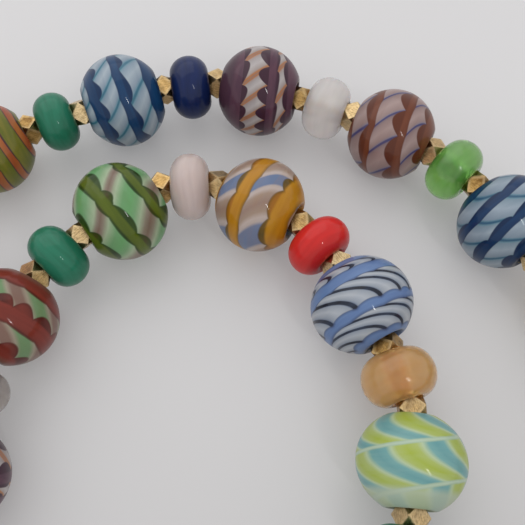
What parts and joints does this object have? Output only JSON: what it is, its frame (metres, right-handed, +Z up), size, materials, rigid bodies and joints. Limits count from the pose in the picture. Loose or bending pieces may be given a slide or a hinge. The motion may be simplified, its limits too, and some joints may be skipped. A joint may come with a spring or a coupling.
{
  "type": "beaded necklace",
  "caption": "Closed loop of large swirled glass beads and small plain ones with cut-corner brass beads between, laid flat in a horseshoe curve, with a barrel clasp.",
  "frame": {"origin": "middle of the loop's bounding box, on the surface the beads lie on", "axes": "+Z up from the surface, +X along the loop's longest side, +Y from the clasp's side towards the outer run's crown"},
  "size_m": [0.1496, 0.0988, 0.014],
  "materials": {
    "brass": "raw brass with fine file marks",
    "clasp_brass": "plain turned brass",
    "blue_glass": "deep blue swirled glass with pale blue petals, glossy",
    "plum_glass": "plum swirled glass with grey-white petals, glossy",
    "brown_glass": "rust brown swirled glass with lavender-grey ribbons, glossy",
    "olive_glass": "olive swirled glass with an orange stripe, glossy",
    "red_glass": "clear red swirled glass with mint stripes, glossy",
    "mint_glass": "olive-green swirled glass with mint and white ribbons, glossy",
    "yellow_glass": "amber-yellow swirled glass with blue and pink stripes, glossy",
    "sky_glass": "periwinkle swirled glass with grey-white petals and black lines, glossy",
    "lime_glass": "white glass with lime and teal stripes, glossy",
    "green_glass": "opaque malachite-green glass, glossy",
    "navy_glass": "opaque navy glass, glossy",
    "milk_glass": "milky white glass, glossy",
    "leaf_glass": "translucent light green glass, glossy",
    "rose_glass": "milky pink-white glass, glossy",
    "poppy_glass": "opaque red glass, glossy",
    "amber_glass": "translucent amber glass, glossy",
    "smoke_glass": "translucent grey glass, glossy",
    "straw_glass": "translucent straw-coloured glass, glossy"
  },
  "bodies": {
    "root": {"string": "brass", "clasp": "clasp_brass", "glass_bead_01": "yellow_glass", "glass_bead_02": "red_glass", "glass_bead_03": "mint_glass", "glass_bead_04": "blue_glass", "glass_bead_05": "brown_glass", "glass_bead_06": "plum_glass", "glass_bead_07": "blue_glass", "glass_bead_08": "olive_glass", "glass_bead_09": "brown_glass", "glass_bead_10": "sky_glass", "glass_bead_11": "yellow_glass", "glass_bead_12": "blue_glass", "glass_bead_13": "lime_glass", "glass_bead_14": "plum_glass", "glass_bead_15": "red_glass", "glass_bead_16": "mint_glass", "glass_bead_17": "yellow_glass", "glass_bead_18": "sky_glass", "glass_bead_19": "lime_glass", "glass_bead_20": "olive_glass", "spacer_bead_01": "amber_glass", "spacer_bead_02": "navy_glass", "spacer_bead_03": "poppy_glass", "spacer_bead_04": "straw_glass", "spacer_bead_05": "leaf_glass", "spacer_bead_06": "milk_glass", "spacer_bead_07": "navy_glass", "spacer_bead_08": "green_glass", "spacer_bead_09": "poppy_glass", "spacer_bead_10": "milk_glass", "spacer_bead_11": "leaf_glass", "spacer_bead_12": "amber_glass", "spacer_bead_13": "navy_glass", "spacer_bead_14": "rose_glass", "spacer_bead_15": "smoke_glass", "spacer_bead_16": "green_glass", "spacer_bead_17": "rose_glass", "spacer_bead_18": "poppy_glass", "spacer_bead_19": "amber_glass", "spacer_bead_20": "green_glass", "spacer_bead_21": "milk_glass"}
  },
  "joints": []
}
